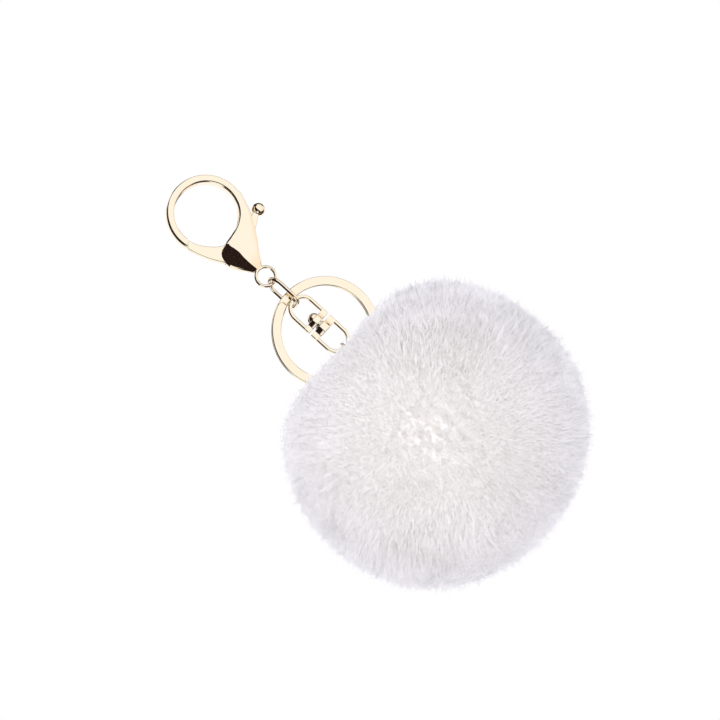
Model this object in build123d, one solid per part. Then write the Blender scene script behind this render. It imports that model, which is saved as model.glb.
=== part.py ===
from build123d import *

import os
from math import cos, radians, sin

# A fur ball keychain, hanging from its clasp. Millimetres, +Z up, +X towards the thumb knob, front towards -Y.
# The origin is the centre of the clasp's hook opening.

# Clasp
hook_inner_r = 8.6
hook_band = 2.0
hook_thick = 3.6
body_thick = 5.2
slot_thick = 2.2
hang_x = -1.4  # everything under the hook hangs on this line
eye_z = -22.7
eye_r = 2.62  # to the middle of the eye's wire
eye_wire = (0.43, 0.55)  # half its width and half its depth
seam_low, seam_high = (-11.2, -3.45), (-7.9, -0.34)  # a line through the joint of hook and gate

# Gate
gate_thick = 2.0
gate_pivot = (-1.5, -12.0)
gate_pin_r = 0.7
gate_hub_r = 2.9
pin_clear = 0.06
knob_centre = (10.8, -9.0)
knob_size = (1.7, 3.4)  # radius and length
knob_edge_r = 0.9
spring_wire_r = 0.13
spring_r = 1.45
spring_height = 0.72
spring_turns = 2.5
spring_room = (0.35, 0.1)  # round the coil and under it, in the gate's pocket
pocket_depth = 1.1

# Link
link_wire_r = 0.5
link_half = 3.25  # half its width, to the middle of the wire
link_turn = 10.5  # its plane is turned this much from the Y-Z plane, its front wire towards +X
link_top_z = eye_z - 1.42
link_low_z = eye_z - 11.0
link_corner_r = 2.1

# Split ring
ring_inner_r = 12.4
ring_outer_r = 14.9
coil_thick = 0.87
coil_gap = 0.06
ring_front_y = 0.6
ring_shift_x = 0.75  # it hangs this far to the side of the line under the hook
ring_centre_z = eye_z - 21.85
ring_tilt = 8.0  # its foot leans back behind the ball
ring_step = 10.0  # half the angle over which one coil steps down to the other

# Swivel
swivel_y = -0.9
bow_inner_r = 2.85
bow_band = 1.0
bow_thick = 1.7
bow_edge_r = 0.35
upper_arc_z = eye_z - 13.15
upper_collar = (eye_z - 18.75, eye_z - 17.0)
lower_collar = (eye_z - 21.6, eye_z - 19.45)
lower_arc_z = eye_z - 24.85
collar_half = (3.85, 1.75)
collar_edge = 0.2
rivet_r = 0.9
rivet_head = (1.65, 1.35)  # radius and height of the dome
rivet_head_edge_r = 0.95
rivet_head_gap = 0.05
washer_size = (1.4, 0.45)
rivet_clear = 0.05

# Jump ring and eye pin
jump_wire_r = 0.4
jump_r = 2.3
jump_z = eye_z - 29.3
pin_wire_r = 0.4
pin_eye_r = 1.35
pin_eye_z = eye_z - 32.0
pin_tail_size = (1.3, 0.4)

# Ball
ball_r = 40.0
ball_z = eye_z - 59.5
dish_r = 31.0  # the hollow in the fur, round the link's foot, where the ring and swivel move
core_r = 18.2
pelt_thick = 0.8
core_z = eye_z - 60.0
core_flat = 16.4  # height over the core's middle where it is cut flat for the washers
plate_size = (5.0, 0.6)
stem_hole_r = 0.5
neck_r = (1.3, 2.1)
neck_z = eye_z - 38.8
thread_r = 0.35

nodes = {}


def slab(sketch, thick, y=0.0):
    """A flat shape in the X-Z plane, given a thickness either side of y."""
    return Pos(0, y, 0) * extrude(Plane.XZ * sketch, thick / 2, both=True)


def upright(radius, low, high, x=hang_x, y=swivel_y):
    return Pos(x, y, (low + high) / 2) * Cylinder(radius, high - low)


def across(place, radius, length):
    """A cylinder about Y at a point of the X-Z plane."""
    return Pos(place[0], 0, place[1]) * Rot(90, 0, 0) * Cylinder(radius, length)


def wire_ring(radius, wire_r, place):
    """A round wire bent to a circle in the X-Z plane about place."""
    section = Plane.XY * Pos(radius, 0) * Circle(wire_r)
    return place * revolve(section, Axis.Y, 360)


# Clasp: its outline in X-Z, cut back to its thickness at each height.


def body_outline():
    right = [(10.4, -2.6), (8.6, -8.0), (1.7, -17.3), (0.6, -18.8), (0.55, -20.6)]
    left = [(-3.35, -20.6), (-3.2, -19.3), (-6.3, -14.2), (-6.0, -11.2), (-4.4, -9.3), (-2.2, -8.0)]
    plate = make_face(Polyline(*right, *left, close=True))
    hook = Circle(hook_inner_r + hook_band)
    return plate + hook - Circle(hook_inner_r)


def depth_profile():
    """The clasp seen from the side: thin at the eye, thickest at the gate's pivot."""
    half = [(10.9, hook_thick / 2), (0.0, hook_thick / 2), (-5.0, 2.0), (-10.0, body_thick / 2)]
    half += [(-14.0, body_thick / 2 - 0.1), (-18.0, 1.5), (-21.0, 0.75)]
    front = Spline(*[(-y, z) for z, y in half[1:]])
    back = Spline(*[(y, z) for z, y in half[1:]])
    top = Line((-half[0][1], half[0][0]), (half[0][1], half[0][0]))
    sides = [Line((s * half[0][1], half[0][0]), (s * half[1][1], half[1][0])) for s in (-1, 1)]
    foot = Line((-half[-1][1], half[-1][0]), (half[-1][1], half[-1][0]))
    return make_face([top, *sides, front, back, foot])


def hook_gap():
    """The wedge of the hook's circle that the gate closes."""
    below = [seam_low, seam_high, (-4.5, -4.5), (-2.2, -8.2), (-4.4, -9.3), (-6.0, -11.2), (-14.0, -11.2)]
    return make_face(Polyline(*below, close=True))


def slot_outline():
    return make_face(Polyline(
        (-14, -4), (2.8, -4), (2.8, -8.6), (14, -8.3), (14, -16.6), (3.0, -16.0), (-1.5, -15.3),
        (-7.5, -13.9), (-14, -13.9), close=True))


def make_clasp():
    flat = slab(body_outline() - hook_gap(), 2 * body_thick)
    side = extrude(Plane.YZ * depth_profile(), 20, both=True)
    body = flat & side
    eye_section = Plane.XY * Pos(eye_r, 0) * Ellipse(*eye_wire)
    eye = Pos(hang_x, 0, eye_z) * revolve(eye_section, Axis.Y, 360)
    hole = across((hang_x, eye_z), eye_r - eye_wire[0], body_thick)
    body = body - slab(slot_outline(), slot_thick) - hole + eye
    nodes["clasp_body"] = body - across(gate_pivot, gate_pin_r, 2 * body_thick)


def make_gate():
    hub = Pos(*gate_pivot) * Circle(gate_hub_r)
    arm = make_face(Polyline(
        (-10.75, -3.25), (-8.4, -1.05), (-7.6, -4.02), (-5.6, -6.53), (-3.2, -8.35), (-1.6, -9.1),
        (8.2, -8.9), (9.6, -8.3), (9.9, -9.8), (6.9, -11.7), (0.0, -14.5), (-2.6, -14.7), (-5.8, -13.0),
        (-9.05, -7.2), close=True))
    shape = slab(arm - Circle(hook_inner_r) + hub, gate_thick)
    knob = across(knob_centre, *knob_size)
    shape += fillet(knob.edges(), knob_edge_r)
    axle = Pos(gate_pivot[0], 0, gate_pivot[1]) * Rot(90, 0, 0)
    back = -gate_thick / 2
    pocket = axle * Pos(0, 0, back) * Cylinder(spring_r + spring_room[0], 2 * pocket_depth)
    nodes["clasp_gate"] = shape - across(gate_pivot, gate_pin_r + pin_clear, body_thick) - pocket
    nodes["gate_pin"] = across(gate_pivot, gate_pin_r, body_thick - 0.2)
    coil = Helix(spring_height / spring_turns, spring_height, spring_r)
    section = Plane(coil @ 0, z_dir=coil % 0) * Circle(spring_wire_r)
    nodes["gate_spring"] = axle * Pos(0, 0, back + spring_room[1]) * sweep(section, coil)


# Link: one oval of round wire, standing nearly across the clasp.


def make_link():
    straight_top = link_top_z - link_half
    straight_low = link_low_z + link_corner_r
    arc_45 = link_corner_r * (1 - cos(radians(45)))
    path = Wire([
        ThreePointArc((-link_half, straight_top), (0, link_top_z), (link_half, straight_top)),
        Line((link_half, straight_top), (link_half, straight_low)),
        ThreePointArc((link_half, straight_low), (link_half - arc_45, link_low_z + arc_45),
                      (link_half - link_corner_r, link_low_z)),
        Line((link_half - link_corner_r, link_low_z), (link_corner_r - link_half, link_low_z)),
        ThreePointArc((link_corner_r - link_half, link_low_z), (arc_45 - link_half, link_low_z + arc_45),
                      (-link_half, straight_low)),
        Line((-link_half, straight_low), (-link_half, straight_top)),
    ])
    section = Plane((link_half, straight_low, 0), z_dir=(0, 1, 0)) * Circle(link_wire_r)
    nodes["chain_link"] = Pos(hang_x, 0, 0) * Rot(0, 0, 90 + link_turn) * Rot(90, 0, 0) * sweep(section, path=path)


# Split ring: a flat band that goes round twice, with both of its ends near the top.


def band_face(angle, y):
    """The band's section at an angle round the ring, its front at y."""
    out = Vector(cos(radians(angle)), 0, sin(radians(angle)))
    middle = out * (ring_inner_r + ring_outer_r) / 2 + Vector(0, y + coil_thick / 2, 0)
    along = Vector(-sin(radians(angle)), 0, cos(radians(angle)))
    return Plane(middle, x_dir=out, z_dir=along) * Rectangle(ring_outer_r - ring_inner_r, coil_thick)


def make_split_ring():
    start, end = 90 + ring_step, 450 - ring_step
    rise = coil_thick + coil_gap
    parts = []
    for y in (0.0, rise):
        parts.append(revolve(band_face(start, y), Axis.Y, -(end - start)))
    sections = [band_face(90 - ring_step + 2 * ring_step * t, rise * t) for t in (0.0, 0.25, 0.5, 0.75, 1.0)]
    ring = parts[0] + loft(sections, ruled=True) + parts[1]
    rest = Pos(hang_x + ring_shift_x, ring_front_y, link_low_z) * Rot(ring_tilt, 0, 0)
    nodes["split_ring"] = rest * Pos(0, 0, ring_centre_z - link_low_z) * ring


# Swivel: two bows, back to back on one rivet.


def make_bow(arc_z, collar, flip):
    """A bow with its arch at arc_z. flip is 1 with the arch on top, and -1 with it below."""
    outer = bow_inner_r + bow_band
    reach = abs(arc_z - sum(collar) / 2)
    legs = Pos(0, -reach / 2) * Rectangle(2 * outer, reach)
    hollow = Circle(bow_inner_r) + Pos(0, -reach / 2) * Rectangle(2 * bow_inner_r, reach)
    bow = slab(Circle(outer) + legs - hollow, bow_thick)
    rims = bow.edges().filter_by(GeomType.CIRCLE)
    bow = fillet(rims, bow_edge_r)
    bow = Pos(hang_x, swivel_y, arc_z) * (bow if flip > 0 else Rot(0, 180, 0) * bow)
    base = extrude(Plane.XY * Ellipse(*collar_half), collar[1] - collar[0])
    base = chamfer(base.edges(), collar_edge)
    return bow + Pos(hang_x, swivel_y, collar[0]) * base


def make_swivel():
    shank = upright(rivet_r, lower_collar[0], upper_collar[1])
    head_low = upper_collar[1] + rivet_head_gap
    head = upright(rivet_head[0], head_low, head_low + rivet_head[1])
    head = fillet(head.edges().group_by(Axis.Z)[-1], rivet_head_edge_r)
    nodes["swivel_rivet"] = upright(rivet_r, lower_collar[0], head_low + rivet_head_gap) + head
    bore = upright(rivet_r + rivet_clear, upper_collar[0] - 1, upper_collar[1] + 1)
    nodes["swivel_upper_bow"] = make_bow(upper_arc_z, upper_collar, 1) - bore
    nodes["swivel_lower_bow"] = make_bow(lower_arc_z, lower_collar, -1) - shank
    low = lower_collar[1]
    nodes["swivel_washer"] = upright(washer_size[0], low, low + washer_size[1]) - shank


# Jump ring, and the wire pin through the ball.


def make_pin():
    jump = wire_ring(jump_r, jump_wire_r, Pos(hang_x, swivel_y, jump_z) * Rot(0, 0, 90))
    nodes["jump_ring"] = jump
    eye = wire_ring(pin_eye_r, pin_wire_r, Pos(hang_x, swivel_y, pin_eye_z))
    foot = core_z - core_flat - plate_size[1]
    stem = upright(pin_wire_r, foot, pin_eye_z - pin_eye_r)
    tail = upright(pin_tail_size[0], foot - pin_tail_size[1], foot)
    nodes["eye_pin"] = eye + stem + tail


# Ball: fur on a sewn backing, round a stuffed core held between two discs.


def make_ball():
    middle = Pos(hang_x, swivel_y, core_z)
    pelt_r = core_r + pelt_thick
    stem_hole = upright(stem_hole_r, core_z - core_r, core_z + core_r)
    keep = Pos(hang_x, swivel_y, core_z) * Box(3 * core_r, 3 * core_r, 2 * core_flat)
    nodes["stuffing_core"] = (middle * Sphere(core_r) & keep) - stem_hole
    for name, low in (("cap_washer", core_flat), ("base_washer", -core_flat - plate_size[1])):
        plate = upright(plate_size[0], core_z + low, core_z + low + plate_size[1])
        nodes[name] = plate - stem_hole
    neck = upright(neck_r[1], core_z + core_r, neck_z)
    mouth = upright(neck_r[0], core_z, neck_z + 1)
    nodes["pelt_backing"] = middle * Sphere(pelt_r) + neck - middle * Sphere(core_r) - mouth
    thread = Torus(neck_r[1] + thread_r, thread_r)
    nodes["gathering_thread"] = Pos(hang_x, swivel_y, neck_z - 1.0) * thread
    dish = Pos(hang_x, swivel_y, link_low_z) * Sphere(dish_r)
    ball = Pos(hang_x, swivel_y, ball_z) * Sphere(ball_r)
    nodes["fur_pile"] = ball - dish - middle * Sphere(pelt_r)


make_clasp()
make_gate()
make_link()
make_split_ring()
make_swivel()
make_pin()
make_ball()

os.makedirs("parts", exist_ok=True)
for node, shape in nodes.items():
    export_step(shape, f"parts/{node}.step")
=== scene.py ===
import math

import bpy
import numpy as np
from mathutils import Matrix, Vector
from mathutils.kdtree import KDTree


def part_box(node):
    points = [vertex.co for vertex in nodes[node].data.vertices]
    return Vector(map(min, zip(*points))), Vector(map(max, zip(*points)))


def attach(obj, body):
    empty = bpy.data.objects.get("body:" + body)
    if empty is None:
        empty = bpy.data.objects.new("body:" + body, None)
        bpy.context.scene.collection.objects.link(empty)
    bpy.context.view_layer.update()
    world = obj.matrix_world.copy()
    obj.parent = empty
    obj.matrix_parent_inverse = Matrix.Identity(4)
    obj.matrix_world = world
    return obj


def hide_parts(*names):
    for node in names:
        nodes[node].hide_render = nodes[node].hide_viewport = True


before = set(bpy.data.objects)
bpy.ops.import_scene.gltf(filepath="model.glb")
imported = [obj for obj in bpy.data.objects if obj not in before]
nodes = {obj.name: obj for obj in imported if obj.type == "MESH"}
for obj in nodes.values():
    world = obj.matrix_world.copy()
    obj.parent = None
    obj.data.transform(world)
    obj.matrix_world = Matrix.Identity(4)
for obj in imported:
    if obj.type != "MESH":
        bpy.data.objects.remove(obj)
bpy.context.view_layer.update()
mm = 0.001
print("frame loaded,", len(nodes), "nodes")


def extent(node):
    # lowest and highest corners of a CAD node, in millimetres
    low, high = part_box(node)
    return np.array(low) / mm, np.array(high) / mm


# Shader maths as plain expressions

class Value:
    # one socket: arithmetic on it adds Math nodes, so a mask reads as it would in Python

    def __init__(self, tree, socket):
        self.tree = tree
        self.socket = socket

    def maths(self, operation, *others):
        return self.tree.node("Math", {"operation": operation}, dict(enumerate((self, *others))))["Value"]

    def __add__(self, other):
        return self.maths("ADD", other)

    def __radd__(self, other):
        return self.maths("ADD", other)

    def __mul__(self, other):
        return self.maths("MULTIPLY", other)

    def __rmul__(self, other):
        return self.maths("MULTIPLY", other)

    def __sub__(self, other):
        return self.maths("SUBTRACT", other)

    def __rsub__(self, other):
        return (self * -1.0).maths("ADD", other)

    def clamp(self):
        return self.maths("MAXIMUM", 0.0).maths("MINIMUM", 1.0)

    def between(self, low, high, soft):
        # 1 from low to high, falling to 0 over a soft border outside them
        return ((self - (low - soft)) * (1 / soft)).clamp() * (((high + soft) - self) * (1 / soft)).clamp()


class Node:
    # a node just made: indexing it by name or number gives one of its outputs

    def __init__(self, tree, made):
        self.tree = tree
        self.made = made

    def __getitem__(self, output):
        return Value(self.tree, self.made.outputs[output])


class Tree:
    # a material's or the world's node tree

    def __init__(self, owner):
        owner.use_nodes = True
        self.nodes = owner.node_tree.nodes
        self.links = owner.node_tree.links
        self.nodes.clear()

    def node(self, kind, settings=None, inputs=None):
        # adds a node of a type: its settings first, then each input as a number or a link
        made = self.nodes.new("ShaderNode" + kind)
        for name, setting in (settings or {}).items():
            setattr(made, name, setting)
        for name, value in (inputs or {}).items():
            if isinstance(value, Value):
                self.links.new(value.socket, made.inputs[name])
            else:
                made.inputs[name].default_value = value
        return Node(self, made)

    def mix(self, factor, first, second):
        # colour first where factor is 0, second where it is 1
        return self.node("Mix", {"data_type": "RGBA"}, {0: factor, 6: first, 7: second})[2]

    def noise(self, scale, detail, place):
        return self.node("TexNoise", {}, {"Vector": place, "Scale": scale, "Detail": detail})["Fac"]

    def bump(self, height, strength, distance):
        inputs = {"Height": height, "Strength": strength, "Distance": distance}
        return self.node("Bump", {}, inputs)["Normal"]

    def output(self, shader, kind="OutputMaterial"):
        self.node(kind, {}, {"Surface": shader})


def rgb(red, green, blue):
    return (red, green, blue, 1.0)


# Meshes from arrays

def unit(vectors):
    return vectors / np.linalg.norm(vectors, axis=-1, keepdims=True)


def meshFrom(name, points, faces, material, body, slot, *replaced):
    # points in millimetres, and arrays of faces, each array with faces of one size
    mesh = bpy.data.meshes.new(name)
    mesh.vertices.add(len(points))
    mesh.vertices.foreach_set("co", (points * mm).astype(np.float32).ravel())
    sizes = np.concatenate([np.full(len(part), part.shape[1]) for part in faces])
    loops = np.concatenate([part.ravel() for part in faces]).astype(np.int32)
    mesh.loops.add(len(loops))
    mesh.loops.foreach_set("vertex_index", loops)
    mesh.polygons.add(len(sizes))
    mesh.polygons.foreach_set("loop_start", np.concatenate([[0], np.cumsum(sizes)[:-1]]).astype(np.int32))
    mesh.polygons.foreach_set("use_smooth", np.ones(len(sizes), bool))
    mesh.update(calc_edges=True)
    mesh.materials.append(material)
    piece = bpy.data.objects.new(name, mesh)
    bpy.context.scene.collection.objects.link(piece)
    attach(piece, body)
    if replaced:
        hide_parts(*replaced)
    return piece


def skin(grid, loop=False):
    # grid[i, j] is a point: j runs round a closed section, i along the piece. The rows are joined by
    # quads, the last row to the first in a loop, or else both ends are closed by a fan about their middle.
    rows, columns = grid.shape[:2]
    number = np.arange(rows * columns).reshape(rows, columns)
    here = number if loop else number[:-1]
    after = np.roll(number, -1, axis=0) if loop else number[1:]
    quads = np.stack([here, after, np.roll(after, -1, axis=1), np.roll(here, -1, axis=1)], axis=-1)
    quads = quads.reshape(-1, 4)
    points = grid.reshape(-1, 3)
    if loop:
        return points, [quads]
    ends = np.stack([grid[0].mean(axis=0), grid[-1].mean(axis=0)])
    first = np.stack([number[0], np.roll(number[0], -1), np.full(columns, len(points))], axis=-1)
    last = np.stack([np.roll(number[-1], -1), number[-1], np.full(columns, len(points) + 1)], axis=-1)
    return np.concatenate([points, ends]), [quads, first, last]


def joined(*skins):
    # several closed skins as one set of points and faces
    points = np.concatenate([part[0] for part in skins])
    starts = np.cumsum([0] + [len(part[0]) for part in skins])
    return points, [faces + start for part, start in zip(skins, starts) for faces in part[1]]


def outward(points, faces):
    # turns every face round if the skin encloses a negative volume
    volume = 0.0
    for part in faces:
        for k in range(1, part.shape[1] - 1):
            a, b, c = points[part[:, 0]], points[part[:, k]], points[part[:, k + 1]]
            volume += np.einsum("ij,ij->i", a, np.cross(b, c)).sum()
    return faces if volume > 0 else [part[:, ::-1] for part in faces]


def roundCorners(corners, radii, steps=5, share=0.39):
    # corners[..., k, :] is a closed polygon. Each corner becomes a parabola that starts and ends a
    # radius away from it, with one more point on the flat at each side to keep the flat's shading flat.
    # A radius is at most its share of the shorter side beside it.
    before = np.roll(corners, 1, axis=-2) - corners
    after = np.roll(corners, -1, axis=-2) - corners
    shorter = np.minimum(np.linalg.norm(before, axis=-1), np.linalg.norm(after, axis=-1))
    reach = np.minimum(np.asarray(radii, float), np.asarray(share, float) * shorter)[..., None]
    start = corners + unit(before) * reach
    end = corners + unit(after) * reach
    t = np.linspace(0, 1, steps)[:, None]
    curve = (1 - t) ** 2 * start[..., None, :] + 2 * t * (1 - t) * corners[..., None, :]
    curve = curve + t ** 2 * end[..., None, :]
    hold = 0.25 * reach
    holdStart = (start + unit(before) * hold)[..., None, :]
    holdEnd = (end + unit(after) * hold)[..., None, :]
    rounded = np.concatenate([holdStart, curve, holdEnd], axis=-2)
    return rounded.reshape(*corners.shape[:-2], -1, corners.shape[-1])


def roundedBar(width, depth, radius, steps=5):
    # a rectangle's section with rounded corners, as points (across, through)
    signs = np.array([(-1, -1), (-1, 1), (1, 1), (1, -1)])
    return roundCorners(signs * (width / 2, depth / 2), np.full(4, radius), steps)


def wire(radius, count=14):
    turn = np.linspace(0, 2 * math.pi, count, endpoint=False)
    return np.stack([np.cos(turn), np.sin(turn)], axis=-1) * radius


def carry(path, through, section, loop=False):
    # carries a section along a path: its first number goes across, in the plane square to the vector
    # "through", and its second along "through"
    if loop:
        along = np.roll(path, -1, axis=0) - np.roll(path, 1, axis=0)
    else:
        along = np.gradient(path, axis=0)
    through = unit(np.asarray(through, float)) + 0 * path
    across = unit(np.cross(unit(along), through))
    section = np.broadcast_to(section, (len(path), *section.shape[-2:]))
    return path[:, None] + across[:, None] * section[..., :1] + through[:, None] * section[..., 1:]


def throughPoints(keys, count):
    # Catmull-Rom: between two keys the line is the cubic that the keys on both sides of them set
    keys = np.asarray(keys, float)
    keys = np.concatenate([[2 * keys[0] - keys[1]], keys, [2 * keys[-1] - keys[-2]]])
    t = np.linspace(0, len(keys) - 3, count)
    i = np.minimum(t.astype(int), len(keys) - 4)
    f = (t - i).reshape(-1, *[1] * (keys.ndim - 1))
    a, b, c, d = keys[i], keys[i + 1], keys[i + 2], keys[i + 3]
    square = 2 * a - 5 * b + 4 * c - d
    cube = 3 * b - a - 3 * c + d
    return 0.5 * (2 * b + (c - a) * f + square * f ** 2 + cube * f ** 3)


def arc(middle, radius, start, end, count):
    # points in the X-Z plane, angles in degrees from +X towards +Z
    turn = np.radians(np.linspace(start, end, count))
    x = middle[0] + radius * np.cos(turn)
    z = middle[1] + radius * np.sin(turn)
    return np.stack([x, 0 * x, z], axis=-1)


poleR = 0.02  # a turned shape's profile stops this short of the axis, and a fan closes the rest


def revolved(profile, count=40):
    # profile is (radius, height) from the foot to the top, turned about +Z
    turn = np.linspace(0, 2 * math.pi, count, endpoint=False)
    profile = np.asarray(profile, float)
    radius = profile[:, :1]
    return np.stack([radius * np.cos(turn), radius * np.sin(turn), profile[:, 1:] + 0 * turn], axis=-1)


def softened(profile, radius, steps=6):
    # an open profile with its inner corners rounded
    profile = np.asarray(profile, float)
    rounded = roundCorners(profile, np.full(len(profile), radius), steps).reshape(len(profile), -1, 2)
    return np.concatenate([profile[:1], rounded[1:-1].reshape(-1, 2), profile[-1:]])


def sharpen(piece, degrees):
    piece.data.set_sharp_from_angle(angle=math.radians(degrees))


# Metal

goldLook = {
    "pale": (0.985, 0.905, 0.755),
    "warm": (0.975, 0.865, 0.690),
    "roughness": (0.03, 0.09),
    "cloudScale": 240.0,
    "polishScale": 1100.0,
    "polishDepth": 0.000006,
}
steelLook = {
    "colour": (0.78, 0.77, 0.75),
    "dull": (0.62, 0.61, 0.60),
    "grainScale": 700.0,
    "roughness": (0.18, 0.34),
}


def makeGold():
    look = goldLook
    material = bpy.data.materials.new("paleGoldPlating")
    tree = Tree(material)
    place = tree.node("TexCoord")["Object"]
    cloud = tree.noise(look["cloudScale"], 3.0, place)
    polish = tree.noise(look["polishScale"], 2.0, place)
    low, high = look["roughness"]
    shader = tree.node("BsdfPrincipled", {}, {
        "Base Color": tree.mix(cloud, rgb(*look["pale"]), rgb(*look["warm"])),
        "Metallic": 1.0,
        "Roughness": cloud * (high - low) + low,
        "Normal": tree.bump(polish, 0.10, look["polishDepth"])})
    tree.output(shader["BSDF"])
    return material


def makeSteel():
    look = steelLook
    material = bpy.data.materials.new("brightSteel")
    tree = Tree(material)
    place = tree.node("TexCoord")["Object"]
    grain = tree.noise(look["grainScale"], 4.0, place)
    low, high = look["roughness"]
    shader = tree.node("BsdfPrincipled", {}, {
        "Base Color": tree.mix(grain, rgb(*look["colour"]), rgb(*look["dull"])),
        "Metallic": 1.0,
        "Roughness": grain * (high - low) + low,
        "Normal": tree.bump(grain, 0.15, 0.00001)})
    tree.output(shader["BSDF"])
    return material


gold = makeGold()
steel = makeSteel()
edgeAngle = 50  # an edge that turns by more degrees than this is drawn sharp


def metalPiece(name, parts, body, *replaced, sharpAngle=None):
    points, faces = joined(*[(points, outward(points, faces)) for points, faces in parts])
    piece = meshFrom(name, points, faces, gold, body, "plated_gold", *replaced)
    if sharpAngle:
        sharpen(piece, sharpAngle)
    return piece


# Clasp

claspShape = {
    "innerR": 8.6,
    "outerR": 10.6,
    "tipAngles": (187.0, 194.5),  # where the hook's inner and outer edges end, at the gate
    "hookEnd": -8.0,  # the angle at which the hook runs into the body
    "hookDrift": 0.17,  # how far across the ridge wanders round the hook
    "tipRows": 14,  # how many of the hook's stations its slanted tip takes up
    "hookRows": 90,
    "bodyRows": 110,
    "edgeR": 0.72,
    "ridgeR": 0.2,
    "creaseR": 0.6,
    # the most of a side that a corner may take up, at an edge and at the ridge or the crease
    "edgeShare": 0.62,
    "ridgeShare": 0.14,
    "sharpAngle": 38,
    # stations down the body: a point of the left edge and of the right edge, (x, z)
    "left": [(8.31, -2.23), (7.45, -4.3), (6.08, -6.08), (4.3, -7.45), (2.23, -8.31), (-0.4, -8.8),
             (-2.84, -9.15), (-4.75, -9.8), (-5.8, -11.0), (-6.25, -12.7), (-6.15, -14.5), (-5.0, -16.7),
             (-3.7, -18.6), (-2.5, -20.1)],
    "right": [(10.5, -2.75), (9.55, -5.4), (8.55, -8.0), (7.3, -10.0), (6.0, -12.0), (4.6, -13.9),
              (3.5, -15.3), (3.1, -15.8), (2.7, -16.3), (2.2, -16.9), (1.7, -17.5), (1.15, -18.4),
              (0.6, -19.3), (-0.3, -20.2)],
    # at each station, how far across the ridge and the crease are, from 0 at the left to 1 at the right
    "ridge": [0.67, 0.6, 0.5, 0.4, 0.29, 0.18, 0.12, 0.34, 0.46, 0.5, 0.52, 0.49, 0.46, 0.45],
    "crease": [0.73, 0.72, 0.72, 0.74, 0.78, 0.8, 0.8, 0.82, 0.83, 0.83, 0.82, 0.78, 0.7, 0.6],
    # and the half depth at the left edge, the ridge, the crease and the right edge
    "depths": [(1.8, 1.8, 1.8, 1.8), (1.88, 1.95, 1.95, 1.85), (2.0, 2.15, 2.13, 1.95),
               (2.15, 2.35, 2.28, 2.0), (2.25, 2.5, 2.38, 2.0), (2.3, 2.6, 2.42, 1.98),
               (2.3, 2.66, 2.42, 1.95), (1.9, 2.66, 2.4, 1.92), (1.6, 2.62, 2.32, 1.88),
               (1.42, 2.52, 2.2, 1.8), (1.35, 2.35, 2.0, 1.65), (1.1, 1.9, 1.6, 1.35),
               (0.8, 1.25, 1.1, 0.95), (0.4, 0.5, 0.5, 0.4)],
    "slotHalf": 1.02,
    # the slot that the gate turns in, open towards the hook's opening and at both sides
    "slot": [(-14, -4), (2.8, -4), (2.8, -8.6), (14, -8.3), (14, -16.6), (3.0, -16.0), (-1.5, -15.2),
             (-4.5, -14.2), (-6.5, -12.66), (-14, -12.66)],
    "eyeR": 2.62,
    "eyeWire": (0.43, 0.55),
}


def claspStations():
    # the hook's stations are radial lines of its ring, and the body's follow its two outlines
    shape = claspShape
    hook, count = shape["hookRows"], shape["bodyRows"]
    innerTip, outerTip = shape["tipAngles"]
    inner = arc((0, 0), shape["innerR"], innerTip, shape["hookEnd"], hook)
    slant = (outerTip - innerTip) * np.clip(1 - np.arange(hook) / shape["tipRows"], 0, 1)
    turn = np.radians(np.linspace(innerTip, shape["hookEnd"], hook) + slant)
    outer = np.stack([np.cos(turn), 0 * turn, np.sin(turn)], axis=-1) * shape["outerR"]
    left = throughPoints(shape["left"], count)
    right = throughPoints(shape["right"], count)
    flat = np.array([shape["ridge"][0], shape["crease"][0], *shape["depths"][0]])
    hookForm = np.tile(flat, (hook, 1))
    hookForm[:, :2] += (shape["hookDrift"] * (np.cos(turn) - np.cos(turn[-1])))[:, None]
    bodyForm = throughPoints(np.column_stack([shape["ridge"], shape["crease"], shape["depths"]]), count)
    lines = np.insert(np.stack([left, right]), 1, 0.0, axis=-1)
    return (np.concatenate([inner, lines[0]]), np.concatenate([outer, lines[1]]),
            np.concatenate([hookForm, bodyForm]))


def prism(outline, half):
    # an outline in the X-Z plane, given a thickness either side of it
    outline = np.asarray(outline, float)
    ring = np.stack([outline[:, 0], 0 * outline[:, 0], outline[:, 1]], axis=-1)
    return skin(np.stack([ring - (0, half, 0), ring + (0, half, 0)]))


def cutAway(piece, points, faces):
    # cuts a closed skin out of a piece
    tool = bpy.data.meshes.new("tool")
    corners = [tuple(face) for part in outward(points, faces) for face in part.tolist()]
    tool.from_pydata((points * mm).tolist(), [], corners)
    cutter = bpy.data.objects.new("tool", tool)
    bpy.context.scene.collection.objects.link(cutter)
    cut = piece.modifiers.new("cut", "BOOLEAN")
    cut.operation = "DIFFERENCE"
    cut.solver = "EXACT"
    cut.object = cutter
    graph = bpy.context.evaluated_depsgraph_get()
    result = bpy.data.meshes.new_from_object(piece.evaluated_get(graph))
    piece.modifiers.clear()
    piece.data = result
    bpy.data.objects.remove(cutter)


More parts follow.
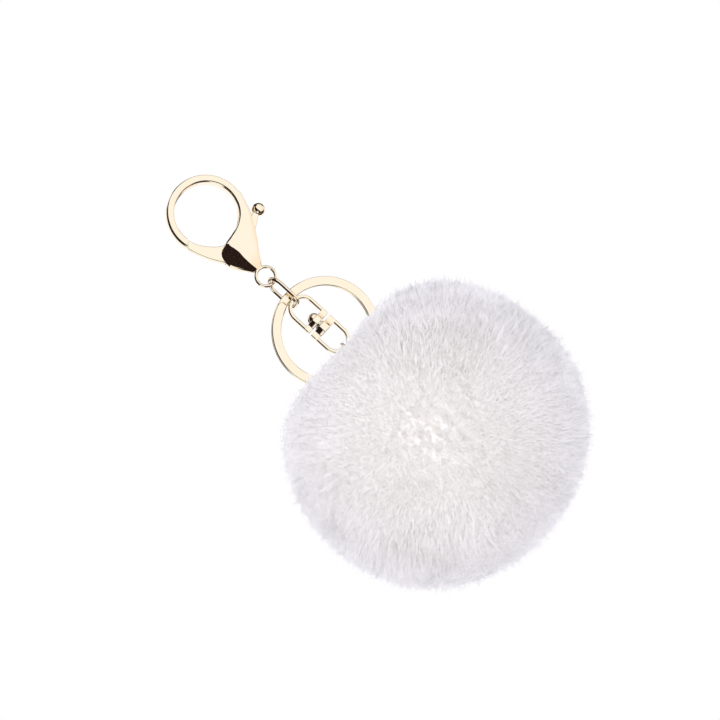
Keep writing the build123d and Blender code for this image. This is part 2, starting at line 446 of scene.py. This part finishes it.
def makeClasp():
    # at each station a closed section of eight corners: left edge, ridge, crease and right edge in
    # front, and the same four behind, all rounded
    shape = claspShape
    inner, outer, form = claspStations()
    across = np.stack([0 * form[:, 0], form[:, 0], form[:, 1], 1 + 0 * form[:, 0]], axis=-1)
    front = inner[:, None] + (outer - inner)[:, None] * across[..., None]
    depth = np.zeros_like(front)
    depth[..., 1] = form[:, 2:]
    corners = np.concatenate([front - depth, (front + depth)[:, ::-1]], axis=1)
    radii = [shape["edgeR"], shape["ridgeR"], shape["creaseR"], shape["edgeR"]]
    share = [shape["edgeShare"], shape["ridgeShare"], shape["ridgeShare"], shape["edgeShare"]]
    points, faces = skin(roundCorners(corners, radii + radii[::-1], 9, share + share[::-1]))
    piece = metalPiece("clasp_hook_and_body", [(points, faces)], "clasp", "clasp_body")
    cutAway(piece, *prism(shape["slot"], shape["slotHalf"]))
    sharpen(piece, shape["sharpAngle"])
    low = extent("clasp_body")[0]
    linkLow, linkHigh = extent("chain_link")
    eyeMiddle = (linkLow[0] + linkHigh[0]) / 2
    ring = arc((eyeMiddle, low[2] + shape["eyeR"] + shape["eyeWire"][0]), shape["eyeR"], 0, 355, 72)
    section = wire(1.0) * shape["eyeWire"]
    eye = skin(carry(ring, (0, 1, 0), section, loop=True), loop=True)
    metalPiece("clasp_eye", [eye], "clasp", "clasp_body")


gateShape = {
    "half": 0.95,
    "edgeR": 0.36,
    # points along the arm's two outlines, (x, z), from the hook's tip to the knob
    "upper": [(-8.52, -1.25), (-8.15, -2.75), (-7.4, -4.4), (-6.25, -6.1), (-4.95, -7.6), (-3.5, -8.75),
              (-1.9, -9.25), (0.2, -9.3), (2.6, -9.2), (5.2, -9.1), (8.2, -8.8), (9.8, -8.4)],
    "lower": [(-10.38, -3.05), (-9.95, -4.75), (-9.3, -6.7), (-8.45, -8.8), (-7.4, -10.8), (-6.2, -12.6),
              (-4.4, -14.0), (-1.5, -14.9), (1.6, -14.1), (4.6, -12.8), (7.2, -11.5), (9.9, -9.9)],
    "rows": 80,
    "knob": (10.8, -9.0),
    "knobR": 1.75,
    "knobSquare": 0.85,  # 1 is a true ball, and less is squarer
}


def makeGate():
    # the arm is a bar between two outlines; the knob is a ball, a little squared, on its end
    shape = gateShape
    upper = np.insert(throughPoints(shape["upper"], shape["rows"]), 1, 0.0, axis=-1)
    lower = np.insert(throughPoints(shape["lower"], shape["rows"]), 1, 0.0, axis=-1)
    half = np.array([0, shape["half"], 0])
    corners = np.stack([upper - half, lower - half, lower + half, upper + half], axis=1)
    arm = skin(roundCorners(corners, np.full(4, shape["edgeR"])))
    turn = np.radians(np.linspace(-89, 89, 33))
    profile = np.stack([np.cos(turn) ** shape["knobSquare"], np.sin(turn)], axis=-1) * shape["knobR"]
    knob = revolved(profile, 48)[..., [0, 2, 1]] + (shape["knob"][0], 0, shape["knob"][1])
    metalPiece("gate_arm_and_knob", [arm, skin(knob)], "gate", "clasp_gate", sharpAngle=edgeAngle)


makeClasp()
makeGate()
print("clasp made")


# Link and split ring

linkShape = {
    "half": 3.25,
    "cornerR": 2.1,
    "wireR": 0.5,
    "turn": 10.5,  # degrees that it is turned about +Z from edge on
}
ringShape = {
    "band": 2.5,
    "thick": 0.87,
    "gap": 0.06,
    "edgeR": 0.3,
    "tilt": 8.0,
    "ends": (100.0, 790.0),  # the angles at which it starts in front and ends behind
    "ramp": (426.0, 462.0),  # the angles between which it steps back
    "taper": 1.7,  # length over which each end is rounded off
    "tipWidth": 0.93,  # how much of the band's width, squared, a tip loses
    "rows": 460,
}


def makeLink():
    # a closed line: half a circle on top, two straight sides and a flat foot with round corners
    shape = linkShape
    low, high = extent("chain_link")
    middle = (low + high) / 2
    half, corner, r = shape["half"], shape["cornerR"], shape["wireR"]
    top, foot = high[2] - r - half, low[2] + r + corner
    sides = np.linspace(foot, top, 7)[1:-1]
    right = np.stack([0 * sides + half, 0 * sides, sides], axis=-1)
    path = np.concatenate([
        arc((0, top), half, 0, 180, 33),
        right[::-1] * (-1, 1, 1),
        arc((corner - half, foot), corner, 180, 270, 13),
        arc((half - corner, foot), corner, 270, 360, 13),
        right])
    grid = carry(path, (0, 1, 0), wire(r, 18), loop=True)
    turn = math.radians(90 + shape["turn"])
    x = grid[..., 0] * math.cos(turn) - grid[..., 1] * math.sin(turn)
    y = grid[..., 0] * math.sin(turn) + grid[..., 1] * math.cos(turn)
    grid = np.stack([x + middle[0], y + middle[1], grid[..., 2]], axis=-1)
    metalPiece("link_wire", [skin(grid, loop=True)], "link", "chain_link")


def makeSplitRing():
    # a flat band carried round twice; it steps back by its own thickness over the top, and each end
    # narrows to a rounded tip
    shape = ringShape
    low, high = extent("split_ring")
    tilt = math.radians(shape["tilt"])
    outerR = (high[0] - low[0]) / 2
    radius = outerR - shape["band"] / 2
    angle = np.linspace(*shape["ends"], shape["rows"])
    rampStart, rampEnd = shape["ramp"]
    ramp = np.clip((angle - rampStart) / (rampEnd - rampStart), 0, 1)
    back = (shape["thick"] + shape["gap"]) * (0.6 * ramp + 0.4 * ramp ** 2 * (3 - 2 * ramp))
    path = arc((0, 0), radius, angle[0], angle[-1], len(angle))
    path[:, 1] = back + shape["thick"] / 2
    fromEnd = np.radians(np.minimum(angle - angle[0], angle[-1] - angle)) * radius
    t = np.clip(1 - fromEnd / shape["taper"], 0, 1)
    narrow = np.sqrt(1 - shape["tipWidth"] * t ** 2)
    section = roundedBar(shape["band"], shape["thick"], shape["edgeR"])
    section = section * np.stack([narrow, 0.25 + 0.75 * np.sqrt(narrow)], axis=-1)[:, None]
    grid = carry(path, (0, 1, 0), section)
    y, z = grid[..., 1].copy(), grid[..., 2].copy()
    grid[..., 1] = y * math.cos(tilt) - z * math.sin(tilt)
    grid[..., 2] = y * math.sin(tilt) + z * math.cos(tilt)
    points = grid.reshape(-1, 3)
    shift = (low + high) / 2 - (points.min(axis=0) + points.max(axis=0)) / 2
    metalPiece("split_ring_band", [skin(grid + shift)], "key_ring", "split_ring", sharpAngle=edgeAngle)


makeLink()
makeSplitRing()
print("link and split ring made")


# Swivel, jump ring and eye

swivelShape = {
    "innerR": 2.85,
    "band": 1.0,
    "thick": 1.7,
    "edgeR": 0.38,
    "collarHeights": (1.75, 2.15),  # of the upper bow and of the lower one
    "collarEdge": 0.16,
    "collarCorner": 0.26,
    # the collar seen from above, a quarter of it: (across, through), with a raised middle
    "collarPlan": [(0.95, 2.2), (2.15, 0.92), (3.88, 0.92)],
    "headR": 1.65,
    "headHeight": 1.35,
    "headSquare": 0.8,  # 1 is a true dome, and less has fuller shoulders
    "shankR": 0.9,
    "washerR": 1.4,
    "washerEdge": 0.12,
}


def makeCollar(middle, low, high):
    # a block with a flat-faced boss in front and behind; all its edges are rounded
    shape = swivelShape
    quarter = np.array(shape["collarPlan"])
    plan = np.concatenate([quarter, quarter[::-1] * (1, -1), quarter * (-1, -1), quarter[::-1] * (-1, 1)])
    edge = shape["collarEdge"]
    rows = []
    for height, inset in ((low, edge), (low + 0.3 * edge, 0.3 * edge), (low + edge, 0), (high - edge, 0),
                          (high - 0.3 * edge, 0.3 * edge), (high, edge)):
        outline = roundCorners(plan * (1 - inset / 3.0), np.full(len(plan), shape["collarCorner"]), 5)
        rows.append(np.insert(outline + middle[:2], 2, height, axis=-1))
    return skin(np.array(rows))


def makeBow(name, body, node, collarHeight, flip):
    # a bar bent to a U, its feet in the collar. flip is 1 with the arch on top, and -1 with it below.
    shape = swivelShape
    low, high = extent(node)
    middle = (low + high) / 2
    line = shape["innerR"] + shape["band"] / 2
    arch = high[2] - line - shape["band"] / 2 if flip > 0 else low[2] + line + shape["band"] / 2
    collarLow = low[2] if flip > 0 else high[2] - collarHeight
    foot = collarLow + collarHeight / 2
    legs = np.linspace(foot, arch, 6)[:-1]
    right = np.stack([0 * legs + line, 0 * legs, legs], axis=-1)
    path = np.concatenate([right, arc((0, arch), line, 0, 180 * flip, 37), right[::-1] * (-1, 1, 1)])
    section = roundedBar(shape["band"], shape["thick"], shape["edgeR"])
    bar = carry(path, (0, 1, 0), section) + (middle[0], middle[1], 0)
    collar = makeCollar(middle, collarLow, collarLow + collarHeight)
    metalPiece(name, [skin(bar), collar], body, node, sharpAngle=edgeAngle)


def makeRivet():
    # a domed head above the upper collar, and a shank down into the lower one
    shape = swivelShape
    low, high = extent("swivel_rivet")
    middle = (low + high) / 2
    under = high[2] - shape["headHeight"]
    turn = np.radians(np.linspace(0, 88, 16))
    domeR = shape["headR"] * np.cos(turn) ** shape["headSquare"]
    dome = np.stack([domeR, under + shape["headHeight"] * np.sin(turn)], axis=-1)
    profile = [(poleR, low[2]), (shape["shankR"], low[2]), (shape["shankR"], under), *dome]
    rivet = skin(revolved(profile) + (middle[0], middle[1], 0))
    metalPiece("rivet_head_and_shank", [rivet], "swivel_foot", "swivel_rivet", sharpAngle=edgeAngle)


def makeWasher():
    low, high = extent("swivel_washer")
    middle = (low + high) / 2
    shape = swivelShape
    r = shape["washerR"]
    corners = [(poleR, low[2]), (r, low[2]), (r, high[2]), (poleR, high[2])]
    profile = softened(corners, shape["washerEdge"])
    disc = skin(revolved(profile) + (middle[0], middle[1], 0))
    piece = metalPiece("swivel_washer_disc", [disc], "swivel_foot", "swivel_washer", sharpAngle=edgeAngle)
    piece.data.materials[0] = steel


def makeJumpRing():
    # round wire bent to a circle across the swivel's lower bow
    low, high = extent("jump_ring")
    middle = (low + high) / 2
    r = (high[0] - low[0]) / 2
    circle = arc((0, 0), (high[2] - low[2]) / 2 - r, 0, 355, 60)[:, [1, 0, 2]] + middle
    bent = skin(carry(circle, (1, 0, 0), wire(r), loop=True), loop=True)
    metalPiece("jump_ring_wire", [bent], "jump_ring", "jump_ring")


upperHeight, lowerHeight = swivelShape["collarHeights"]
makeBow("upper_bow_and_collar", "swivel_top", "swivel_upper_bow", upperHeight, 1)
makeBow("lower_bow_and_collar", "swivel_foot", "swivel_lower_bow", lowerHeight, -1)
makeRivet()
makeWasher()
makeJumpRing()
for name in ("gate_pin", "gate_spring", "eye_pin", "cap_washer", "base_washer"):
    nodes[name].data.materials.clear()
    nodes[name].data.materials.append(steel)
print("swivel made")


# Sewn core

coreShape = {
    "gathers": 22,
    "gatherDepth": 0.55,
    "lumpDepth": 0.35,
    "plies": 3,
    "plyDepth": 0.06,
    "twists": 12,  # turns of the plies round the whole ring of thread
}
clothLook = {"pale": (0.86, 0.84, 0.84), "shade": (0.72, 0.70, 0.71), "weaveScale": 1600.0}
stuffingLook = {"pale": (0.93, 0.93, 0.93), "shade": (0.80, 0.80, 0.82), "weaveScale": 500.0}
threadLook = {"pale": (0.90, 0.88, 0.86), "shade": (0.74, 0.72, 0.70), "weaveScale": 3000.0}


def waves(place, seed, scale, count=7):
    # smooth noise in 3-D: a few sine waves in random directions, added up
    random = np.random.default_rng(seed)
    total = np.zeros(place.shape[:-1])
    for i in range(count):
        direction = random.normal(size=3)
        total += np.sin(place @ direction * scale + random.uniform(0, 2 * math.pi))
    return total / count ** 0.5


def makeCloth(name, look):
    material = bpy.data.materials.new(name)
    tree = Tree(material)
    weave = tree.noise(look["weaveScale"], 3.0, tree.node("TexCoord")["Object"])
    shader = tree.node("BsdfPrincipled", {}, {
        "Base Color": tree.mix(weave, rgb(*look["pale"]), rgb(*look["shade"])),
        "Roughness": 0.9,
        "Normal": tree.bump(weave, 0.4, 0.0002)})
    tree.output(shader["BSDF"])
    return material


def makeCore():
    # the backing is a ball with a neck, gathered in folds that deepen towards the neck
    shape = coreShape
    low, high = extent("pelt_backing")
    coreLow, coreHigh = extent("stuffing_core")
    radius = (high[0] - low[0]) / 2
    middle = np.array([(high[0] + low[0]) / 2, (high[1] + low[1]) / 2, low[2] + radius])
    threadLow, threadHigh = extent("gathering_thread")
    neck = (threadHigh[0] - threadLow[0]) / 2 - (threadHigh[2] - threadLow[2])
    fromTop = np.linspace(math.pi - 0.02, math.asin(neck / radius), 70)
    profile = np.stack([np.sin(fromTop), np.cos(fromTop)], axis=-1) * radius
    top = high[2] - middle[2]
    neckFoot = profile[-1, 1] + 0.4 * (top - profile[-1, 1])
    profile = np.concatenate([profile, [(neck, neckFoot), (neck, top)]])
    grid = revolved(profile, 176)
    turn = np.arctan2(grid[..., 1], grid[..., 0])
    depth = shape["gatherDepth"] * np.clip(profile[:, 1:] / radius, 0, 1) ** 2
    fold = 1 - depth * (0.5 - 0.5 * np.cos(turn * shape["gathers"])) / np.maximum(profile[:, :1], 1.0)
    grid = grid * np.stack([fold, fold, 1 + 0 * fold], axis=-1) + middle
    points, faces = skin(grid)
    cloth = makeCloth("backingCloth", clothLook)
    backing = meshFrom("gathered_backing", points, outward(points, faces), cloth,
                       "fur_ball", "backing_cloth", "pelt_backing")
    # the stuffing is a lumpy ball inside it, a little flat above and below
    direction = revolved(np.stack([np.sin(fromTop), np.cos(fromTop)], axis=-1), 120)
    size = (coreHigh - coreLow) / 2 - 0.4
    packed = direction * (size - shape["lumpDepth"] * (1 + waves(direction, 5, 5.0))[..., None])
    points, faces = skin(packed + (coreHigh + coreLow) / 2)
    fibre = makeCloth("stuffing", stuffingLook)
    stuffing = meshFrom("packed_stuffing", points, outward(points, faces), fibre,
                        "fur_ball", "stuffing", "stuffing_core")
    # the thread is a ring of three twisted plies drawn round the neck
    count = 220
    r = (threadHigh[2] - threadLow[2]) / 2
    ringR = (threadHigh[0] - threadLow[0]) / 2 - r
    circle = arc((0, 0), ringR, 0, 360 - 360 / count, count)[:, [0, 2, 1]] + (threadLow + threadHigh) / 2
    along = np.arange(count)[:, None] / count * 2 * math.pi * shape["twists"]
    turn = np.linspace(0, 2 * math.pi, 18, endpoint=False)
    lobes = r - shape["plyDepth"] * (1 - np.cos(shape["plies"] * turn + along))
    section = np.stack([np.cos(turn), np.sin(turn)], axis=-1) * lobes[..., None]
    points, faces = skin(carry(circle, (0, 0, 1), section, loop=True), loop=True)
    thread = makeCloth("sewingThread", threadLook)
    meshFrom("plied_thread", points, outward(points, faces), thread,
             "fur_ball", "thread", "gathering_thread")


makeCore()
print("sewn core made")


# Fur ball

ballShape = {
    "middle": np.array([-2.0, -0.9, -83.5]),
    "radius": 40.8,
    # (height, angle from the top, width): how the pile differs from a ball
    "swells": [(-9.0, 0.0, 27.0), (-1.6, 0.0, 11.0), (0.8, 124.0, 26.0), (-0.6, 180.0, 25.0)],
    "underShare": 0.92,  # the underfur's radius, as a share of the pile's
    "underUneven": 0.3,
}
longFurSpec = {
    "count": 66000,
    "tufts": 5200,
    "pull": 0.45,  # how far the tips draw together in a tuft
    "lean": 0.007,  # how far a tuft leans, by chance
    "uneven": 0.011,  # how much the tufts differ in length
    "rootShare": 0.88,  # where the hairs start, as a share of the pile's radius
    "thick": (0.12, 0.095),  # at the root and half way
    "gores": 4,  # pieces round the ball
    "seed": 11,
}
shortFurSpec = {
    "count": 250000,
    "lengths": (0.955, 1.0),
    "stray": 0.013,  # how far each tip leans, by chance
    "rootShare": 0.89,
    "thick": 0.135,
    "gores": 6,
    "seed": 12,
}
furColoursAndRootShade = {
    # the root colour is painted shade for the depths of the pile; each hair mixes from it to the tip
    # colour
    "root": (0.945, 0.93, 0.935),
    "tip": (0.99, 0.982, 0.982),
    "cool": (0.90, 0.895, 0.93),
    "coolShare": 0.3,
}


def pileRadius(direction):
    # the pile's length from the middle: a ball with a soft dip at its top, and slow unevenness
    fromTop = np.degrees(np.arccos(np.clip(direction[..., 2], -1, 1)))
    radius = ballShape["radius"] + 0.12 * waves(direction, 3, 5.0)
    for height, place, width in ballShape["swells"]:
        radius = radius + height * np.exp(-((fromTop - place) / width) ** 2)
    return radius


def evenDirections(count):
    # points spread evenly over a ball: equal steps in height, and a golden turn from each to the next
    step = np.arange(count) + 0.5
    up = 1 - 2 * step / count
    turn = step * math.pi * (3 - math.sqrt(5))
    flat = np.sqrt(1 - up ** 2)
    return np.stack([flat * np.cos(turn), flat * np.sin(turn), up], axis=-1)


def furFlow(direction):
    # how far the tips lean sideways, the same way over a patch
    return np.stack([waves(direction, seed, 9.0) for seed in (21, 22, 23)], axis=-1) * 0.006


def longStrands():
    # each strand as three points: root, middle and tip. The tips draw towards the middle of their tuft.
    spec = longFurSpec
    random = np.random.default_rng(spec["seed"])
    root = unit(evenDirections(spec["count"]) + 0.008 * random.normal(size=(spec["count"], 3)))
    tufts = unit(evenDirections(spec["tufts"]) + 0.010 * random.normal(size=(spec["tufts"], 3)))
    nearest = KDTree(len(tufts))
    for number, place in enumerate(tufts):
        nearest.insert(place, number)
    nearest.balance()
    own = np.array([nearest.find(place)[1] for place in root])
    lean = random.normal(size=tufts.shape) * spec["lean"] + furFlow(tufts)
    tuftLength = 1 + spec["uneven"] * random.normal(size=len(tufts))
    stray = random.normal(size=root.shape) * 0.004
    tip = unit(root + (tufts[own] - root) * spec["pull"] + lean[own] + stray)
    length = tuftLength[own] + 0.010 * random.normal(size=len(root))
    length = length + 0.03 * random.random(len(root)) ** 8  # a few stand well out
    middle = unit(root * 0.7 + tip * 0.3)
    low = root * (pileRadius(root) * spec["rootShare"])[:, None]
    half = middle * (pileRadius(middle) * (spec["rootShare"] * 0.45 + 0.55))[:, None]
    tint = 0.75 * random.random(len(tufts))[own] + 0.25 * random.random(len(root))
    return low, half, tip * (pileRadius(tip) * length)[:, None], tint


def shortStrands():
    # the fine wool between the long hairs: straight, a little shorter, each a single spike
    spec = shortFurSpec
    random = np.random.default_rng(spec["seed"])
    root = unit(evenDirections(spec["count"]) + 0.003 * random.normal(size=(spec["count"], 3)))
    tip = unit(root + furFlow(root) + random.normal(size=root.shape) * spec["stray"])
    length = random.uniform(*spec["lengths"], len(root))
    low = root * (pileRadius(root) * spec["rootShare"])[:, None]
    return low, tip * (pileRadius(tip) * length)[:, None], random.random(len(root))


def ringsAbout(along, thick):
    # three points about each strand, square to it
    side = unit(np.cross(along, np.array([0.31, 0.52, 0.79]) + 0 * along))
    other = np.cross(along, side)
    angle = np.arange(3) * 2 * math.pi / 3
    return (side[:, None] * np.cos(angle)[:, None] + other[:, None] * np.sin(angle)[:, None]) * thick


def longPrisms(low, half, tip):
    # each strand is a closed three-sided spike: two rings of three points and a tip
    rings = ringsAbout(unit(tip - low), 1.0)
    rootThick, halfThick = longFurSpec["thick"]
    points = np.concatenate([
        low[:, None] + rings * rootThick,
        half[:, None] + rings * halfThick,
        tip[:, None]], axis=1)
    base = (np.arange(len(low)) * 7)[:, None, None]
    here = np.arange(3)
    after = (here + 1) % 3
    walls = np.stack([here, after, after + 3, here + 3], axis=-1) + base
    ends = np.stack([here + 3, after + 3, here * 0 + 6], axis=-1) + base
    caps = np.array([[2, 1, 0]]) + base
    return points.reshape(-1, 3), [walls.reshape(-1, 4), ends.reshape(-1, 3), caps.reshape(-1, 3)]


def shortPrisms(low, tip):
    # a closed spike of one ring and a tip
    ring = ringsAbout(unit(tip - low), shortFurSpec["thick"])
    points = np.concatenate([low[:, None] + ring, tip[:, None]], axis=1)
    base = (np.arange(len(low)) * 4)[:, None, None]
    here = np.arange(3)
    after = (here + 1) % 3
    sides = np.stack([here, after, here * 0 + 3], axis=-1) + base
    caps = np.array([[2, 1, 0]]) + base
    return points.reshape(-1, 3), [sides.reshape(-1, 3), caps.reshape(-1, 3)]


def makeFurMaterial():
    # painted shade: greyer at the roots and all over the underfur, standing in for the shade deep in the
    # pile, and whiter at the tips; some hairs are cooler than others at random
    look = furColoursAndRootShade
    material = bpy.data.materials.new("whiteFur")
    tree = Tree(material)
    along = tree.node("Attribute", {"attribute_name": "along"})["Fac"]
    tint = tree.node("Attribute", {"attribute_name": "tint"})["Fac"]
    # painted shade: the darker root colour where along is low, deep in the pile
    colour = tree.mix(along, rgb(*look["root"]), rgb(*look["tip"]))
    shader = tree.node("BsdfPrincipled", {}, {
        "Base Color": tree.mix(tint * look["coolShare"], colour, rgb(*look["cool"])),
        "Roughness": 0.8,
        "Specular IOR Level": 0.2,
        "Sheen Weight": 0.2,
        "Sheen Roughness": 0.5})
    tree.output(shader["BSDF"])
    return material


fur = makeFurMaterial()


def addNumbers(piece, name, values):
    # one number for each of the mesh's points, for the material to read
    layer = piece.data.attributes.new(name, "FLOAT", "POINT")
    layer.data.foreach_set("value", np.asarray(values, np.float32))


def furPiece(name, points, faces, along, tint):
    # light passes softly through fine hair, so its normals all point away from the ball's middle, and
    # metal doesn't mirror it
    piece = meshFrom(name, points + ballShape["middle"], faces, fur, "fur_ball", "fur", "fur_pile")
    piece.data.normals_split_custom_set_from_vertices(unit(points))
    piece.visible_glossy = False
    addNumbers(piece, "along", along)
    addNumbers(piece, "tint", tint)
    return piece


def gore(tips, count):
    # which of so many gores round the ball a strand belongs to
    return ((np.arctan2(tips[:, 1], tips[:, 0]) / (2 * math.pi) + 0.5) * count).astype(int) % count


def makeFur():
    low, half, tip, tint = longStrands()
    gores = longFurSpec["gores"]
    which = gore(tip, gores)
    for number in range(gores):
        own = which == number
        points, faces = longPrisms(low[own], half[own], tip[own])
        # along runs from 0 at the root, which takes the root colour's painted shade, to 1 at the tip
        along = np.tile([0, 0, 0, 0.9, 0.9, 0.9, 1.0], own.sum())
        furPiece(f"long_fur_{number + 1}", points, faces, along, np.repeat(tint[own], 7))
    print("long fur made,", len(low), "hairs")
    low, tip, tint = shortStrands()
    gores = shortFurSpec["gores"]
    which = gore(tip, gores)
    for number in range(gores):
        own = which == number
        points, faces = shortPrisms(low[own], tip[own])
        # the short hairs start partway into the root colour's painted shade
        along = np.tile([0.3, 0.3, 0.3, 0.9], own.sum())
        furPiece(f"short_fur_{number + 1}", points, faces, along, np.repeat(tint[own], 4))
    print("short fur made,", len(low), "hairs")


def makeUnderfur():
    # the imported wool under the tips: the pile's own shape, smaller, with a fine unevenness
    rows, columns = 130, 260
    down = np.linspace(0, math.pi, rows)[1:-1, None]
    turn = np.linspace(0, 2 * math.pi, columns, endpoint=False)
    x = np.sin(down) * np.cos(turn)
    y = np.sin(down) * np.sin(turn)
    direction = np.stack([x, y, np.cos(down) + 0 * turn], axis=-1)
    uneven = ballShape["underUneven"] * waves(direction, 41, 60.0, 12)
    radius = pileRadius(direction) * ballShape["underShare"] + uneven
    points, faces = skin(direction * radius[..., None])
    # the underfur takes the root colour all over: painted shade for the bottom of the pile
    along = np.full(len(points), 0.0)
    tint = np.full(len(points), 0.3)
    furPiece("underfur", points, outward(points, faces), along, tint)


makeUnderfur()
makeFur()


# Light, floor and camera

studio = {
    "sideAngle": -14.0,  # how far round from the front the camera stands
    "roll": 47.5,
    "aim": Vector((-0.8, 0.0, -56.1)) * mm,
    "lens": 100.0,
    "frameWidth": 191.0 * mm,
    "fill": 1.68,
    "fillFromBehind": 0.3,  # how much more of the soft light comes from behind than from in front
    "fillColour": (0.965, 0.95, 1.035),
    "keyPower": 1.85,
    "keySpread": 46.0,
    "keyColour": (1.0, 0.96, 0.86),
    "keyAngles": (-17.0, 4.0),  # round from the front, and up
    "floorHeight": -300.0 * mm,
    "floorR": 300.0 * mm,
    # what polished metal mirrors: bright panels as (around from, around to, up from, up to), in
    # degrees round from the front towards +X and up from level, the rest dark
    "panels": [(-6, 92, -62, 56), (-180, -43, -36, -9), (98, 180, -36, -9),
               (-200, -154, -9, 75), (173, 200, -9, 75)],
    "panelEdge": 5.0,
    "panelColour": (1.03, 1.02, 1.0),
    "warmColour": (1.02, 0.90, 0.80),
    "darkColour": (0.020, 0.011, 0.010),
}


def makeCamera():
    spec = studio
    around = math.radians(spec["sideAngle"])
    back = Vector((math.sin(around), -math.cos(around), 0))
    side = Vector((math.cos(around), math.sin(around), 0))
    roll = math.radians(spec["roll"])
    right = side * math.cos(roll) - Vector((0, 0, 1)) * math.sin(roll)
    up = side * math.sin(roll) + Vector((0, 0, 1)) * math.cos(roll)
    data = bpy.data.cameras.new("camera")
    data.lens = spec["lens"]
    data.sensor_width = 36.0
    data.clip_start = 0.01
    data.clip_end = 50.0
    place = spec["aim"] + back * (spec["frameWidth"] * spec["lens"] / data.sensor_width)
    camera = bpy.data.objects.new("camera", data)
    camera.matrix_world = Matrix.Translation(place) @ Matrix((right, up, back)).transposed().to_4x4()
    bpy.context.scene.collection.objects.link(camera)
    bpy.context.scene.camera = camera


def makeWorld():
    # white behind the object, a soft light on cloth and fur, and panels for metal to mirror
    spec = studio
    world = bpy.data.worlds.new("studio")
    bpy.context.scene.world = world
    tree = Tree(world)
    path = tree.node("LightPath")
    direction = tree.node("SeparateXYZ", {}, {"Vector": tree.node("TexCoord")["Generated"]})
    around = direction["X"].maths("ARCTAN2", direction["Y"] * -1.0) * (180 / math.pi)
    up = direction["Z"].maths("ARCSINE") * (180 / math.pi)
    edge = spec["panelEdge"]
    bright = 0.0
    for first, last, low, high in spec["panels"]:
        bright = around.between(first, last, edge) * up.between(low, high, edge) + bright
    warm = ((-20.0 - up) * 0.03).clamp() + ((around - 30.0) * 0.03).clamp()
    panel = tree.mix(warm.clamp(), rgb(*spec["panelColour"]), rgb(*spec["warmColour"]))
    colour = tree.mix(bright.clamp(), rgb(*spec["darkColour"]), panel)
    white = tree.node("Background", {}, {"Color": rgb(1, 1, 1), "Strength": 1.0})["Background"]
    side = math.radians(spec["sideAngle"])
    behind = direction["Y"] * (0.5 * math.cos(side)) + direction["X"] * (-0.5 * math.sin(side)) + 0.5
    fill = np.array(spec["fillColour"])
    more = spec["fillFromBehind"]
    fillTint = tree.mix(behind, rgb(*fill * (1 - more)), rgb(*fill * (1 + more)))
    soft = tree.node("Background", {}, {"Color": fillTint, "Strength": spec["fill"]})["Background"]
    mirrored = tree.node("Background", {}, {"Color": colour, "Strength": 1.0})["Background"]
    lit = tree.node("MixShader", {}, {0: path["Is Glossy Ray"], 1: soft, 2: mirrored})["Shader"]
    both = tree.node("MixShader", {}, {0: path["Is Camera Ray"], 1: lit, 2: white})["Shader"]
    tree.output(both, "OutputWorld")


def makeFloor():
    # a pale disc well under the object
    spec = studio
    material = bpy.data.materials.new("paleFloor")
    tree = Tree(material)
    shader = tree.node("BsdfPrincipled", {}, {"Base Color": rgb(0.9, 0.9, 0.9), "Roughness": 0.9})
    tree.output(shader["BSDF"])
    ring = arc((0, 0), spec["floorR"], 0, 355, 72)[:, [0, 2, 1]] + (0, 0, spec["floorHeight"])
    mesh = bpy.data.meshes.new("floor")
    mesh.from_pydata(ring.tolist(), [], [tuple(range(len(ring)))])
    mesh.materials.append(material)
    floor = bpy.data.objects.new("floor", mesh)
    floor.visible_glossy = False
    bpy.context.scene.collection.objects.link(floor)


def makeKey():
    # one large soft light near the camera, which polished metal doesn't mirror
    spec = studio
    data = bpy.data.lights.new("key", "SUN")
    data.energy = spec["keyPower"]
    data.color = spec["keyColour"]
    data.angle = math.radians(spec["keySpread"])
    key = bpy.data.objects.new("key", data)
    around, up = spec["keyAngles"]
    key.rotation_euler = (math.radians(90 - up), 0, math.radians(around))
    key.visible_glossy = False
    bpy.context.scene.collection.objects.link(key)


makeCamera()
makeWorld()
makeFloor()
makeKey()
bpy.context.scene.view_settings.view_transform = "Standard"
bpy.context.scene.cycles.max_bounces = 16
bpy.context.scene.cycles.diffuse_bounces = 12
print("light, floor and camera made")
